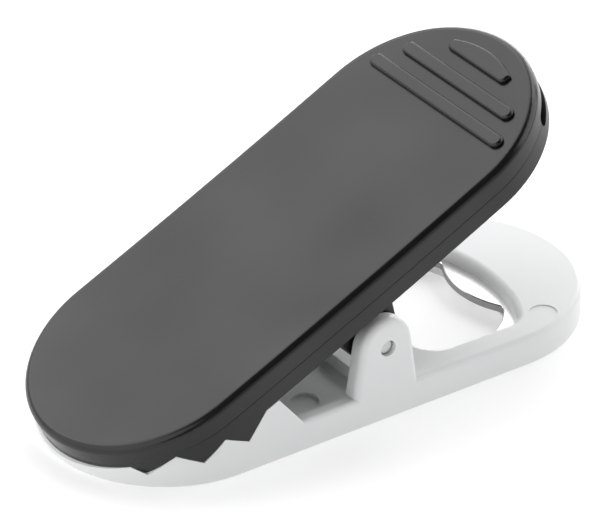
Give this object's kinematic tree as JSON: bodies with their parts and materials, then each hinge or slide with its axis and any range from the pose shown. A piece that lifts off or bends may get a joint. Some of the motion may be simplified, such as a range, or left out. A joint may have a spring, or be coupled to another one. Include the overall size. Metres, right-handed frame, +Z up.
{
  "type": "spring clip with bottle opener",
  "caption": "Black and white spring clip with toothed jaws that close on paper or a bag, and a steel bottle opener set in its lower lever.",
  "frame": {"origin": "middle of the lower lever's flat underside, straight below the pivot", "axes": "+X along the clip towards the finger end, +Y across it, +Z up, away from the underside"},
  "size_m": [0.094, 0.04, 0.0443],
  "materials": {
    "white_plastic": "satin, faint moulded texture",
    "plate_steel": "bright, polished",
    "black_plastic": "satin",
    "black_cover": "satin, fine moulded grain",
    "pin_steel": "plain ground steel",
    "spring_steel": "drawn spring wire"
  },
  "bodies": {
    "lower": {"lower_lever": "white_plastic", "opener_plate": "plate_steel", "pivot_pin": "pin_steel"},
    "upper": {"upper_jaw": "black_plastic", "top_cover": "black_cover", "torsion_spring": "spring_steel"}
  },
  "joints": [
    {"name": "jaw_hinge", "type": "hinge", "parent": "lower", "child": "upper", "pos_m": [0, 0, 0.0125], "axis": [0, 1, 0], "range_deg": [0, 42], "stiffness_Nm_per_rad": 0.41, "springref_deg": -34.95, "deforming": ["torsion_spring"]}
  ]
}
